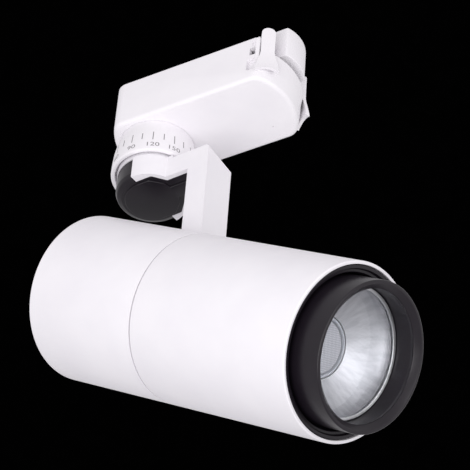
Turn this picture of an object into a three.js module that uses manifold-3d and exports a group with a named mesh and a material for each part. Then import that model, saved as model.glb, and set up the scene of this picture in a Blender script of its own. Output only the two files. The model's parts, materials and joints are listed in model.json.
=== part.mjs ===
// Track spotlight: a track adapter, a swivelling arm and a tilting tubular lamp head with a sliding zoom barrel.
// Millimetres, +Z up. The origin is on the swivel (pan) axis, on the top face of the rail that enters the track.
// +X runs along the adapter towards its latch. The lamp head is modelled in its own frame, with x along the
// tube towards the light, and is then placed on its tilt axis.
import * as THREE from 'three';
import { mergeVertices } from 'three/addons/utils/BufferGeometryUtils.js';
import Module from 'manifold-3d';

const wasm = await Module();
wasm.setup();

// ---------- driving dimensions ----------
const gap = 0.3;                      // clearance between touching pieces

const adapter_width = 36;
const adapter_end_radius = 28;        // both ends are shallow arcs
const adapter_x_min = -16;
const adapter_x_max = 61.4;
const adapter_wall = 2;
const adapter_floor = 2.2;
const adapter_edge = 1.5;             // chamfer round the underside
const rail_height = 12;
const rail_width = 17;
const rail_wall = 1.5;
const rail_x_min = -12;
const rail_x_max = 50;
const housing_height = 23.3;
const cover_thickness = 2;

const nose_width = 16;
const nose_x_max = 64.6;
const nose_end_radius = 16;
const latch_travel = 3.2;
const nose_height = 16.3;             // from the rail's top down to the latch slot
const wing_angle = 55;                // the wings face this far round from +X
const wing_centre = [58.1, 15.3];     // middle of a wing's outer face, mirrored in y

const ring_top_radius = 15.4;
const ring_radius = 17.2;
const ring_height = 17.4;
const ring_recess = 3.4;

const arm_width = 17.2;
const arm_thickness = 9.1;
const arm_offset = 26;                // tilt axis from the pan axis
const leg_offset = 26.4;              // leg's centre line, beside the tilt axis
const bar_height = 11;
const boss_radius = 15;
const plate_radius = 12.1;            // black cap inside the boss's lower ring
const cap_radius = 14.4;
const knuckle_radius = 7.5;

const pan_at_rest = -2.7;             // degrees about +Z
const tilt_at_rest = 32;              // degrees, front end down
const tilt_drop = 138.6;              // tilt axis below the rail's top

const tube_radius = 32.5;
const tube_wall = 1.3;
const front_length = 78.8;
const rear_length = 57;
const seam_gap = 0.4;
const rim_radius = 0.8;               // rounding of the tube's outer edges
const slot_width = 18.8;

const barrel_radius = 27.2;
const barrel_bore = 24.3;
const barrel_reach = 11.1;            // lip in front of the tube's rim
const barrel_length = 27.9;
const emitter_x = 66.5;               // front of the emitter, from the seam
const emitter_radius = 9.3;

const round_steps = 36;
const small_steps = 16;

// ---------- heights worked out from them ----------
const shoulder_z = -rail_height;
const underside_z = shoulder_z - housing_height;
const floor_top_z = underside_z + adapter_floor;
const slot_top_z = -nose_height;
const slot_floor_z = slot_top_z - latch_travel - gap;
const ring_top_z = underside_z - 0.7;
const ring_bottom_z = ring_top_z - ring_height;
const ring_recess_z = ring_bottom_z + ring_recess;
const disc_top_z = ring_recess_z - 1.3;
const bar_top_z = ring_bottom_z - 0.6;
const bar_bottom_z = bar_top_z - bar_height;
const tube_bore = tube_radius - tube_wall;
const lip_x = front_length + barrel_reach;

const rad = THREE.MathUtils.degToRad;

// ---------- materials ----------
function finish(colour, roughness, metalness) {
  return new THREE.MeshStandardMaterial({ color: colour, roughness, metalness });
}
const white_paint = () => finish(0xf1eff3, 0.55, 0.0);
const white_plastic = () => finish(0xf3f1f4, 0.5, 0.0);
const black_plastic = () => finish(0x333136, 0.45, 0.0);
const aluminium = () => finish(0xb9bcc2, 0.4, 0.9);
const steel = () => finish(0xa6a8ad, 0.35, 1.0);
const brass = () => finish(0xc08a5c, 0.35, 1.0);
const mirror = () => finish(0xd6d8de, 0.12, 1.0);
const clear = () => finish(0xe6eef2, 0.05, 0.0);
const rubber = () => finish(0x202022, 0.8, 0.0);
const grey_plastic = () => finish(0xc9c9cd, 0.6, 0.0);

// ---------- solids ----------
function welded(geometry) {
  const bare = geometry.clone();
  bare.deleteAttribute('normal');
  bare.deleteAttribute('uv');
  return mergeVertices(bare, 1e-4);
}

function toSolid(geometry) {
  const merged = welded(geometry);
  const triVerts = Uint32Array.from(merged.index.array);
  const vertProperties = Float32Array.from(merged.attributes.position.array);
  return new wasm.Manifold(new wasm.Mesh({ numProp: 3, vertProperties, triVerts }));
}

function toGeometry(solid) {
  const mesh = solid.getMesh();
  const geometry = new THREE.BufferGeometry();
  geometry.setAttribute('position', new THREE.BufferAttribute(Float32Array.from(mesh.vertProperties), 3));
  geometry.setIndex(new THREE.BufferAttribute(Uint32Array.from(mesh.triVerts), 1));
  return geometry;
}

// Joins the first list of geometries and cuts the second from it.
function carve(joined, cut = []) {
  let solid = toSolid(joined[0]);
  for (const geometry of joined.slice(1)) solid = solid.add(toSolid(geometry));
  for (const geometry of cut) solid = solid.subtract(toSolid(geometry));
  return toGeometry(solid);
}

function box(x0, x1, y0, y1, z0, z1) {
  const geometry = new THREE.BoxGeometry(x1 - x0, y1 - y0, z1 - z0);
  return geometry.translate((x0 + x1) / 2, (y0 + y1) / 2, (z0 + z1) / 2);
}

// A cylinder standing along Z between two heights.
function post(radius, z0, z1, x = 0, y = 0, steps = small_steps) {
  const geometry = new THREE.CylinderGeometry(radius, radius, z1 - z0, steps);
  return geometry.rotateX(Math.PI / 2).translate(x, y, (z0 + z1) / 2);
}

// A cylinder lying along Y or X between two positions.
function pinAlongY(radius, y0, y1, x = 0, z = 0, steps = small_steps) {
  const geometry = new THREE.CylinderGeometry(radius, radius, y1 - y0, steps);
  return geometry.translate(x, (y0 + y1) / 2, z);
}
function pinAlongX(radius, x0, x1, y = 0, z = 0, steps = small_steps) {
  const geometry = new THREE.CylinderGeometry(radius, radius, x1 - x0, steps);
  return geometry.rotateZ(-Math.PI / 2).translate((x0 + x1) / 2, y, z);
}

// Turns a closed [radius, height] outline about Z, or a [radius, x] outline about X.
function turnedZ(outline, steps = round_steps) {
  return turned(outline, steps).rotateX(Math.PI / 2);
}
function turnedX(outline, steps = round_steps) {
  return turned(outline, steps).rotateZ(-Math.PI / 2);
}
function turned(outline, steps) {
  const points = outline.map(([radius, height]) => new THREE.Vector2(radius, height));
  const on_axis = outline[0][0] === 0;
  if (!on_axis) points.push(points[0].clone());
  const geometry = new THREE.LatheGeometry(points, steps);
  return facingOut(geometry);
}

// Gives a closed geometry its faces pointing outwards, whichever way its outline was drawn.
function facingOut(source) {
  const geometry = welded(source);
  const position = geometry.attributes.position;
  const index = geometry.index.array;
  const [a, b, c] = [new THREE.Vector3(), new THREE.Vector3(), new THREE.Vector3()];
  let volume = 0;
  for (let i = 0; i < index.length; i += 3) {
    a.fromBufferAttribute(position, index[i]);
    b.fromBufferAttribute(position, index[i + 1]);
    c.fromBufferAttribute(position, index[i + 2]);
    volume += a.dot(b.cross(c));
  }
  if (volume < 0) {
    for (let i = 0; i < index.length; i += 3) [index[i], index[i + 1]] = [index[i + 1], index[i]];
  }
  return geometry;
}

// A flat outline of [x, y] points raised between two heights.
function raised(outline, z0, z1) {
  const shape = new THREE.Shape(outline.map(([x, y]) => new THREE.Vector2(x, y)));
  const geometry = new THREE.ExtrudeGeometry(shape, { depth: z1 - z0, bevelEnabled: false });
  return geometry.translate(0, 0, z0);
}

// A block between an upper and a lower rectangle, each given by its half width and its two depths [u, v, z].
function prismoid(upper, lower) {
  const corners = [];
  for (const [near, far] of [upper, lower]) {
    corners.push([-near[0], near[1], near[2]], [near[0], near[1], near[2]]);
    corners.push([far[0], far[1], far[2]], [-far[0], far[1], far[2]]);
  }
  const quads = [[0, 3, 2, 1], [4, 5, 6, 7], [0, 1, 5, 4], [1, 2, 6, 5], [2, 3, 7, 6], [3, 0, 4, 7]];
  const geometry = new THREE.BufferGeometry();
  geometry.setAttribute('position', new THREE.BufferAttribute(new Float32Array(corners.flat()), 3));
  geometry.setIndex(quads.flatMap(([a, b, c, d]) => [a, b, c, a, c, d]));
  return facingOut(geometry);
}

// A round wire along a smooth curve through the given points.
function wire(points, radius, steps, sides = 8) {
  const curve = new THREE.CatmullRomCurve3(points.map((p) => new THREE.Vector3(...p)));
  const section = new THREE.Shape();
  for (let i = 0; i < sides; i += 1) {
    const angle = (2 * Math.PI * i) / sides;
    const place = [radius * Math.cos(angle), radius * Math.sin(angle)];
    if (i === 0) section.moveTo(...place);
    else section.lineTo(...place);
  }
  section.closePath();
  return new THREE.ExtrudeGeometry(section, { steps, extrudePath: curve, curveSegments: 1 });
}

const light = new THREE.Group();
function place(group, name, geometry, material) {
  const mesh = new THREE.Mesh(geometry, material);
  mesh.name = name;
  group.add(mesh);
  return mesh;
}

// ---------- adapter: the fixed part that enters the track ----------
// The adapter's plan outline, moved inwards by an inset: straight sides and two arc ends.
function adapterOutline(inset) {
  const half = adapter_width / 2 - inset;
  const radius = adapter_end_radius - inset;
  const rear_centre = adapter_x_min + adapter_end_radius;
  const front_centre = adapter_x_max - adapter_end_radius;
  const sweep = Math.asin(half / radius);
  const steps = 12;
  const outline = [];
  for (let i = 0; i <= steps; i += 1) {
    const angle = -sweep + (2 * sweep * i) / steps;
    outline.push([front_centre + radius * Math.cos(angle), radius * Math.sin(angle)]);
  }
  for (let i = 0; i <= steps; i += 1) {
    const angle = Math.PI - sweep + (2 * sweep * i) / steps;
    outline.push([rear_centre + radius * Math.cos(angle), radius * Math.sin(angle)]);
  }
  return outline;
}

// The housing's block with its lower edge chamfered.
function housingBlock() {
  const shape = new THREE.Shape(adapterOutline(0).map(([x, y]) => new THREE.Vector2(x, y)));
  const options = {
    depth: housing_height,
    bevelEnabled: true,
    bevelThickness: adapter_edge,
    bevelSize: adapter_edge,
    bevelOffset: -adapter_edge,
    bevelSegments: 2,
  };
  return new THREE.ExtrudeGeometry(shape, options).translate(0, 0, underside_z + adapter_edge);
}

const cover_screw_x = [-6, 34];
const cover_screw_y = 12.1;
const screw_post_radius = 3.2;
const spindle_hole = 6.3;
const latch_bay_x = 50.2;
const wing_bay_x = 53;

// Turns a shape drawn in a wing's frame (u along its face, v out of it) to its place on one side.
function toWing(geometry, side) {
  geometry.rotateZ(side * rad(wing_angle) - Math.PI / 2);
  return geometry.translate(wing_centre[0], side * wing_centre[1], 0);
}

function adapterHousing() {
  const lip = nose_width / 2 + 0.6;
  const wing_bay_floor_z = underside_z + 8.3;
  const post_top_z = shoulder_z - cover_thickness - gap;
  const posts = cover_screw_x.map((x) => (
    post(screw_post_radius, floor_top_z - 0.5, post_top_z, x, cover_screw_y)
  ));
  const wing_bays = [-1, 1].map((side) => toWing(box(-3.3, 3.3, -6.2, 8, wing_bay_floor_z, 10), side));
  const cut_corners = [-1, 1].map((side) => toWing(box(-6, 6, -0.5, 8, underside_z - 1, 10), side));
  const cuts = [
    box(-40, 90, -40, 40, shoulder_z, 20),
    box(latch_bay_x, 80, -lip, lip, slot_floor_z, 10),
    box(wing_bay_x, 80, -30, 30, slot_floor_z, 10),
    ...wing_bays,
    ...cut_corners,
    post(spindle_hole, underside_z - 5, floor_top_z + 5),
  ];
  const hollow = raised(adapterOutline(adapter_wall), floor_top_z, 10);
  const shell = toGeometry(toSolid(housingBlock()).subtract(toSolid(hollow)));
  const bores = cover_screw_x.map((x) => post(1.7, floor_top_z + 4, 0, x, cover_screw_y));
  return carve([shell, ...posts], [...cuts, ...bores]);
}

const contact_windows = [
  { name: 'line_contact', side: -1, x: 20 },
  { name: 'neutral_contact', side: 1, x: 20 },
  { name: 'earth_contact', side: 1, x: 40 },
];
const screw_head_radius = 2.8;
const screw_sink = 1.4;                // the cover screws' heads lie below the shoulder face
const contact_length = 12;
const contact_z = [-8.5, -4];

function adapterCover() {
  const plate = raised(adapterOutline(adapter_wall + gap), shoulder_z - cover_thickness, shoulder_z);
  const rail = box(rail_x_min, rail_x_max, -rail_width / 2, rail_width / 2, shoulder_z - 0.5, 0);
  const inner = rail_width / 2 - rail_wall;
  const hollow = box(rail_x_min + rail_wall, rail_x_max - rail_wall, -inner, inner, -20, -rail_wall);
  const front_cut = box(rail_x_max, 80, -30, 30, -30, 5);
  const windows = contact_windows.map(({ side, x }) => {
    const reach = [side * (inner - 1), side * (rail_width / 2 + 1)].sort((a, b) => a - b);
    return box(x - contact_length / 2, x + contact_length / 2, reach[0], reach[1], contact_z[0], contact_z[1]);
  });
  const holes = cover_screw_x.map((x) => post(1.9, -20, -5, x, cover_screw_y));
  const sinks = cover_screw_x.map((x) => (
    post(screw_head_radius + 0.4, shoulder_z - screw_sink, -5, x, cover_screw_y)
  ));
  return carve([plate, rail], [hollow, front_cut, ...windows, ...holes, ...sinks]);
}

// A sprung leaf, bowed out through its window in the rail's side.
function contactLeaf(side, x) {
  const thickness = 0.5;
  const half = contact_length / 2 + 2;
  const inside = rail_width / 2 - rail_wall - 1;
  const rise = 2.9;
  const outer = [[-half, 0], [-half + 3, 0], [-2.5, rise], [2.5, rise], [half - 3, 0], [half, 0]];
  const inner = outer.map(([u, v]) => [u, v - thickness]).reverse();
  const outline = [...outer, ...inner].map(([u, v]) => [x + u, side * (inside + v)]);
  return facingOut(raised(outline, contact_z[0] + 0.5, contact_z[1] - 0.5));
}

function coverScrew(x) {
  const y = cover_screw_y;
  const head = post(screw_head_radius, shoulder_z - screw_sink + gap, shoulder_z - 0.2, x, y);
  const shank = post(1.45, shoulder_z - 9, shoulder_z - 0.9, x, y, 12);
  const recess = box(x - 2, x + 2, y - 0.4, y + 0.4, shoulder_z - 0.6, shoulder_z + 3);
  return carve([head, shank], [recess]);
}

function terminalBlock() {
  const block = box(11, 25, -8, 8, floor_top_z + gap, floor_top_z + 10);
  const wells = [-5, 0, 5].map((y) => post(1.6, floor_top_z + 6, floor_top_z + 20, 17, y, 12));
  return carve([block], wells);
}

function scaleRing() {
  const outline = [
    [spindle_hole, ring_top_z],
    [ring_top_radius, ring_top_z],
    [(ring_top_radius + ring_radius) / 2 + 0.45, ring_top_z - ring_height * 0.45],
    [ring_radius, ring_bottom_z + 2],
    [ring_radius - 0.6, ring_bottom_z + 0.3],
    [ring_radius - 1.4, ring_bottom_z],
    [boss_radius + 0.5, ring_bottom_z + 0.3],
    [boss_radius + 0.5, ring_recess_z],
    [spindle_hole, ring_recess_z],
  ];
  return turnedZ(outline);
}

const thrust_washer = turnedZ([
  [5.5, ring_recess_z - gap],
  [12, ring_recess_z - gap],
  [12, ring_recess_z - 1],
  [5.5, ring_recess_z - 1],
], 32);

place(light, 'adapter_housing', adapterHousing(), white_plastic());
place(light, 'adapter_cover', adapterCover(), white_plastic());
for (const { name, side, x } of contact_windows) place(light, name, contactLeaf(side, x), brass());
place(light, 'cover_screw_rear', coverScrew(cover_screw_x[0]), steel());
place(light, 'cover_screw_front', coverScrew(cover_screw_x[1]), steel());
place(light, 'terminal_block', terminalBlock(), grey_plastic());
place(light, 'scale_ring', scaleRing(), white_plastic());
place(light, 'thrust_washer', thrust_washer, grey_plastic());

const lead_radius = 1.3;
const terminal_z = floor_top_z + 7;
place(light, 'adapter_lead', wire([
  [9.5, 0, terminal_z],
  [7.5, 0, terminal_z + 1.5],
  [5.5, 0, terminal_z + 6.5],
  [3, 0, terminal_z + 8.5],
  [0.8, 0, terminal_z + 8],
  [0, 0, terminal_z + 5.5],
], lead_radius, 14), grey_plastic());

// ---------- latch: the sprung nose block with two finger wings, pulled down to free the adapter ----------
// A wing drawn in its own frame: u along its face, v out of its face, z up.
function latchWing(side) {
  const post_width = 5.6;
  const tab_width = 9.4;
  const post_top_z = -5.7;
  const crease_z = -21.6;
  const tab_bottom_z = -31;
  const post_depth = 5.4;
  const tab_depth = 1.3;
  const flare = 1.7;
  const stem = box(-post_width / 2, post_width / 2, -post_depth, 0, crease_z, post_top_z - post_width / 2);
  const crown = new THREE.CylinderGeometry(post_width / 2, post_width / 2, post_depth, 20);
  crown.translate(0, -post_depth / 2, post_top_z - post_width / 2);
  const tab_top = [-0.2, 0.4].map((v) => [post_width / 2, v, crease_z + 2]);
  const tab_foot = [flare - tab_depth, flare].map((v) => [tab_width / 2, v, tab_bottom_z]);
  const tab = prismoid(tab_top, tab_foot);
  const scallop = pinAlongY(6, -8, 8, 0, tab_bottom_z - 4.6, 24);
  return toWing(carve([stem, crown, tab], [scallop]), side);
}

function lockLatch() {
  const half = nose_width / 2;
  const centre = nose_x_max - nose_end_radius;
  const sweep = Math.asin(half / nose_end_radius);
  const outline = [[rail_x_max + 0.6, half], [rail_x_max + 0.6, -half]];
  for (let i = 0; i <= 8; i += 1) {
    const angle = -sweep + (2 * sweep * i) / 8;
    outline.push([centre + nose_end_radius * Math.cos(angle), nose_end_radius * Math.sin(angle)]);
  }
  const nose = raised(outline, slot_top_z, 0);
  const web = box(53.2, 57.4, -14.6, 14.6, slot_top_z, slot_top_z + 7.5);
  const stem = box(52.6, 56.6, -3, 3, -25.5, slot_top_z + 0.5);
  return carve([nose, web, stem, latchWing(-1), latchWing(1)]);
}

const spring_seat_z = floor_top_z + gap;
const spring_top_z = -25.5 - gap;
function latchSpring() {
  const turns = 3;
  const coil_radius = 2.2;
  const wire_radius = 0.35;
  const points = [];
  for (let i = 0; i <= turns * 8; i += 1) {
    const angle = (2 * Math.PI * i) / 8;
    const rise = (i / (turns * 8)) * (spring_top_z - spring_seat_z - 2 * wire_radius);
    points.push([
      54.6 + coil_radius * Math.cos(angle),
      coil_radius * Math.sin(angle),
      spring_seat_z + wire_radius + rise,
    ]);
  }
  return wire(points, wire_radius, turns * 9, 5);
}
place(light, 'lock_latch', lockLatch(), white_plastic());
place(light, 'latch_spring', latchSpring(), steel());

// ---------- arm: swivels on the adapter ----------
const swivel = new THREE.Group();
swivel.rotation.z = rad(pan_at_rest);
light.add(swivel);

const leg_near = leg_offset - arm_thickness / 2;
const leg_far = leg_offset + arm_thickness / 2;
const half_arm = arm_width / 2;

function yokeArm() {
  const disc = post(cap_radius + 0.2, bar_top_z - 0.5, disc_top_z, 0, 0, round_steps);
  const boss_half = toSolid(post(boss_radius, bar_bottom_z, bar_top_z, 0, 0, round_steps))
    .subtract(toSolid(box(-30, 0, -30, 30, -90, -20)));
  const bar = box(0, leg_far, -half_arm, half_arm, bar_bottom_z, bar_top_z);
  const leg = box(leg_near, leg_far, -half_arm, half_arm, -tilt_drop, bar_bottom_z + 1);
  const knuckle = pinAlongY(knuckle_radius, -half_arm, half_arm, arm_offset, -tilt_drop, 28);
  const corner = box(-4, 4, -40, 40, -4, 4);
  corner.rotateY(Math.PI / 4).translate(leg_far + 2, 0, bar_top_z + 2);
  const side_corner = box(-4, 4, -4, 4, -4, 4);
  side_corner.rotateX(Math.PI / 4).translate(leg_offset, half_arm + 2, bar_top_z + 2);
  const cavity = post(plate_radius + gap, bar_bottom_z - 5, bar_top_z - 3.4, 0, 0, 32);
  const cavity_rear = box(-20, 0, -20, 20, bar_bottom_z - 5, bar_top_z - 0.6);
  const channel = box(0, leg_offset + 2, -7.1, 7.1, bar_bottom_z - 5, bar_bottom_z + 3);
  const channel_stop = box(leg_near - 0.2, leg_far + 1, -7.2, 7.2, bar_bottom_z - 6, bar_bottom_z + 3.2);
  const duct = box(leg_offset - 3.2, leg_offset + 2.2, -3.5, 3.5, -tilt_drop + 13, bar_bottom_z + 3);
  const upper_duct = box(8, leg_offset + 2.2, -3.5, 3.5, bar_bottom_z + 2.5, bar_bottom_z + 6.5);
  const exit = box(leg_offset, leg_far + 2, -3.5, 3.5, -tilt_drop + 13, -tilt_drop + 20);
  const bolt_hole = pinAlongY(3.4, -20, 20, arm_offset, -tilt_drop);
  const spindle_bore = post(5.3, -100, 0);
  const trimmed_channel = toGeometry(toSolid(channel).subtract(toSolid(channel_stop)));
  return carve(
    [disc, toGeometry(boss_half), bar, leg, knuckle],
    [cavity, cavity_rear, trimmed_channel, duct, upper_duct, exit, bolt_hole, spindle_bore, corner, side_corner],
  );
}

// The black cover of the drum and of the wiring channel under the bar.
function pivotCap() {
  const edge = 2.6;
  const bowl = turnedZ([
    [0, bar_bottom_z],
    [cap_radius - edge, bar_bottom_z],
    [cap_radius - edge * 0.3, bar_bottom_z + edge * 0.3],
    [cap_radius, bar_bottom_z + edge],
    [cap_radius, bar_top_z - 0.9],
    [cap_radius - 1.6, bar_top_z - 0.9],
    [cap_radius - 1.6, bar_bottom_z + edge],
    [cap_radius - 3.4, bar_bottom_z + 1.8],
    [0, bar_bottom_z + 1.8],
  ]);
  const front_cut = box(-gap, 40, -30, 30, -90, -20);
  const half_bowl = toGeometry(toSolid(bowl).subtract(toSolid(front_cut)));
  const plate = post(plate_radius, bar_bottom_z, bar_bottom_z + 1.8, 0, 0, 32);
  const tail = box(0, leg_near - 0.6, -6.8, 6.8, bar_bottom_z, bar_bottom_z + 1.8);
  return carve([half_bowl, plate, tail]);
}

const spindle_top_z = floor_top_z + 9;
const flange_z = bar_top_z - 3.4;
const pan_spindle = turnedZ([
  [3, spindle_top_z],
  [5, spindle_top_z],
  [5, flange_z - gap],
  [9, flange_z - gap],
  [9, flange_z - 1.6],
  [3, flange_z - 1.6],
], 24);

function nut(z0, z1, corner_radius, bore) {
  return carve([post(corner_radius, z0, z1, 0, 0, 6)], [post(bore, z0 - 1, z1 + 1)]);
}

const wave_washer = turnedZ([
  [5.4, floor_top_z + gap],
  [9, floor_top_z + gap],
  [9, floor_top_z + 1],
  [5.4, floor_top_z + 1],
], 24);

place(swivel, 'yoke_arm', yokeArm(), white_paint());
place(swivel, 'pivot_cap', pivotCap(), black_plastic());
place(swivel, 'pan_spindle', pan_spindle, steel());
place(swivel, 'spindle_nut', nut(floor_top_z + 1.3, floor_top_z + 5.5, 8.3, 5.25), steel());
place(swivel, 'wave_washer', wave_washer, steel());
place(swivel, 'arm_lead', wire([
  [0, 0, spindle_top_z - 1.5],
  [0, 0, -40],
  [0, 0, -54],
  [0.2, 0, bar_bottom_z + 6],
  [3.2, 0, bar_bottom_z + 3.5],
  [9, 0, bar_bottom_z + 4.3],
  [16, 0, bar_bottom_z + 4.5],
  [leg_offset - 3, 0, bar_bottom_z + 4.3],
  [leg_offset, 0, bar_bottom_z - 0.5],
  [leg_offset, 0, -90],
  [leg_offset, 0, -110],
  [leg_offset, 0, -tilt_drop + 16],
], lead_radius, 36, 6), grey_plastic());

// ---------- head: tilts on the arm; x runs along the tube, 0 at the seam ----------
const head = new THREE.Group();
head.position.set(arm_offset, 0, -tilt_drop);
head.rotation.y = rad(tilt_at_rest);
swivel.add(head);

const half_slot = slot_width / 2;

function frontHousing() {
  const tube = turnedX([
    [tube_bore, seam_gap / 2],
    [tube_radius - 0.3, seam_gap / 2],
    [tube_radius, seam_gap / 2 + 0.3],
    [tube_radius, front_length - rim_radius],
    [tube_radius - rim_radius / 2, front_length],
    [tube_bore, front_length],
  ]);
  return carve([tube], [box(-10, 6.4, -half_slot, half_slot, 0, 50)]);
}

function rearHousing() {
  const tube = turnedX([
    [tube_bore, -seam_gap / 2],
    [tube_radius - 0.3, -seam_gap / 2],
    [tube_radius, -seam_gap / 2 - 0.3],
    [tube_radius, -rear_length + rim_radius],
    [tube_radius - rim_radius, -rear_length],
    [tube_bore, -rear_length],
  ]);
  return carve([tube], [box(-80, 10, -half_slot, half_slot, 0, 50)]);
}

// The sleeve inside the seam that joins the two halves of the tube.
function couplingSleeve() {
  const outer = tube_bore - gap;
  const sleeve = turnedX([[outer - 2, -5], [outer, -5], [outer, 5], [outer - 2, 5]]);
  return carve([sleeve], [box(-10, 10, -half_slot, half_slot, 0, 50)]);
}

const vent_rows = [-20, -15, -10];
const rear_screw_y = [-22, 22];
function rearCap() {
  const disc = pinAlongX(tube_bore - gap, -rear_length, -rear_length + 2, 0, 0, round_steps);
  const notch = box(-80, 0, -half_slot, half_slot, -7.4, 50);
  const vents = vent_rows.map((z) => box(-80, 0, -9, 9, z - 0.9, z + 0.9));
  const holes = rear_screw_y.map((y) => pinAlongX(1.6, -80, 0, y, 0, 12));
  return carve([disc], [notch, ...vents, ...holes]);
}

function headScrew(x, y, z, head_radius, shank_radius, length) {
  const cap = pinAlongX(head_radius, x - 1.4, x - gap, y, z, 16);
  const shank = pinAlongX(shank_radius, x - 0.6, x + length, y, z, 10);
  const recess = box(x - 3, x - 0.9, y - head_radius * 0.6, y + head_radius * 0.6, z - 0.3, z + 0.3);
  return carve([cap, shank], [recess]);
}

const sink_front_x = 44;
const sink_back_x = 14;
const pedestal_radius = 10.3;
const bracket_screw_z = 5;
function heatSink() {
  const base = pinAlongX(tube_bore - 0.5, sink_front_x - 4, sink_front_x, 0, 0, round_steps);
  const pedestal = pinAlongX(pedestal_radius, sink_front_x - 1, emitter_x - 3.9, 0, 0, 24);
  const block = box(sink_back_x, sink_front_x - 2, -7, 7, -10, 10);
  const fins = [-26, -19.5, -13, 13, 19.5, 26, 0].map((y) => {
    const reach = Math.sqrt((tube_bore - 1) ** 2 - (Math.abs(y) + 0.8) ** 2);
    return box(sink_back_x, sink_front_x - 2, y - 0.8, y + 0.8, -reach, reach);
  });
  const bores = [-1, 1].map((s) => pinAlongX(1.7, sink_back_x - 2, sink_back_x + 9, 0, s * bracket_screw_z, 12));
  return carve([base, pedestal, block, ...fins], bores);
}

const ear_inner = half_arm + 1.6;
const ear_outer = ear_inner + 2;
const bracket_height = 8;
function pivotBracket() {
  const outline = [
    [-8, ear_inner], [-8, ear_outer], [sink_back_x - gap, ear_outer], [sink_back_x - gap, -ear_outer],
    [-8, -ear_outer], [-8, -ear_inner], [sink_back_x - 2.3, -ear_inner], [sink_back_x - 2.3, ear_inner],
  ];
  const holes = [-1, 1].map((s) => pinAlongX(1.7, 5, 20, 0, s * bracket_screw_z, 12));
  const bolt_hole = pinAlongY(3.35, -30, 30);
  return carve([facingOut(raised(outline, -bracket_height, bracket_height))], [bolt_hole, ...holes]);
}

function tiltBolt() {
  const shank = pinAlongY(3, -ear_outer - 1, ear_outer + 5.5);
  const cap = pinAlongY(5.2, -ear_outer - 3.3, -ear_outer - gap);
  const socket = pinAlongY(2, -40, -ear_outer - 1.8, 0, 0, 6);
  return carve([cap, shank], [socket]);
}
function tiltNut() {
  const hexagon = pinAlongY(5.6, ear_outer + gap, ear_outer + 4.5, 0, 0, 6);
  return carve([hexagon], [pinAlongY(3.3, 0, 40)]);
}
function frictionWasher(side) {
  const washer = turned([[3.5, 0], [7.4, 0], [7.4, 1], [3.5, 1]], 24);
  return washer.translate(0, side > 0 ? half_arm + gap : -half_arm - gap - 1, 0);
}

function ledDriver() {
  const module = box(-50, -12, -12, 12, -26.5, -14);
  const chamfer = [-1, 1].map((s) => box(-60, 0, -5, 5, -5, 5).rotateX(Math.PI / 4).translate(0, s * 15, -29.5));
  return carve([module], chamfer);
}

const board_back_x = emitter_x - 3.6;
function cobHolder() {
  return turnedX([
    [emitter_radius + 0.3, board_back_x],
    [pedestal_radius + 0.3, board_back_x],
    [pedestal_radius + 0.3, emitter_x + 0.4],
    [emitter_radius + 0.5, emitter_x + 0.9],
    [emitter_radius + 0.3, emitter_x + 0.6],
  ], 32);
}

function frontFlange() {
  const outer = tube_bore - gap;
  const inner = barrel_radius + 0.5;
  return turnedX([
    [inner, front_length - 9],
    [outer - 1.8, front_length - 9],
    [outer - 1.8, front_length - 4.5],
    [outer, front_length - 4.5],
    [outer, front_length - 0.4],
    [outer - 1.6, front_length - 0.4],
    [outer - 2, front_length - 1.8],
    [inner, front_length - 1.8],
    [inner + 0.6, front_length - 4],
  ]);
}

const o_ring_x = front_length - 10.2;
function barrelRing() {
  const section = [];
  const thickness = 0.55;
  const middle = barrel_radius + 0.95;
  for (let i = 0; i < 5; i += 1) {
    const angle = (2 * Math.PI * i) / 5;
    section.push([middle + thickness * Math.cos(angle), o_ring_x + thickness * Math.sin(angle)]);
  }
  return turnedX(section);
}

place(head, 'front_housing', frontHousing(), white_paint());
place(head, 'rear_housing', rearHousing(), white_paint());
place(head, 'coupling_sleeve', couplingSleeve(), aluminium());
place(head, 'rear_cap', rearCap(), white_plastic());
rear_screw_y.forEach((y, i) => {
  place(head, `rear_cap_screw_${i + 1}`, headScrew(-rear_length, y, 0, 2.6, 1.3, 8), steel());
});
place(head, 'heat_sink', heatSink(), aluminium());
place(head, 'pivot_bracket', pivotBracket(), steel());
[-1, 1].forEach((s, i) => {
  const name = `bracket_screw_${i + 1}`;
  place(head, name, headScrew(sink_back_x - 2.3, 0, s * bracket_screw_z, 2.5, 1.4, 9), steel());
});
place(head, 'tilt_bolt', tiltBolt(), steel());
place(head, 'tilt_nut', tiltNut(), steel());
place(head, 'friction_washer_near', frictionWasher(-1), grey_plastic());
place(head, 'friction_washer_far', frictionWasher(1), grey_plastic());
place(head, 'led_driver', ledDriver(), grey_plastic());
place(head, 'head_lead', wire([
  [8.8, 0, -12.5],
  [5, 0, -14.5],
  [0, 0, -17],
  [-5, 0, -19],
  [-11.6, 0, -20],
], lead_radius, 10), grey_plastic());
place(head, 'cob_board', pinAlongX(emitter_radius, board_back_x, board_back_x + 1.2, 0, 0, 32), aluminium());
place(head, 'cob_emitter', pinAlongX(emitter_radius, emitter_x - 2.1, emitter_x, 0, 0, 32), clear());
place(head, 'cob_holder', cobHolder(), clear());
place(head, 'front_flange', frontFlange(), black_plastic());
place(head, 'barrel_o_ring', barrelRing(), rubber());

// ---------- zoom barrel: slides along the tube ----------
const glass_front_x = front_length - 0.4;
const lip_inner_x = front_length + 9.1;

function zoomBarrel() {
  return turnedX([
    [barrel_bore, lip_x - barrel_length],
    [barrel_radius, lip_x - barrel_length],
    [barrel_radius, lip_x - 0.7],
    [barrel_radius - 0.7, lip_x],
    [barrel_radius - 1.3, lip_x - 0.1],
    [barrel_bore - 0.5, lip_inner_x],
    [barrel_bore, lip_inner_x - 1.5],
  ]);
}

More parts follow.
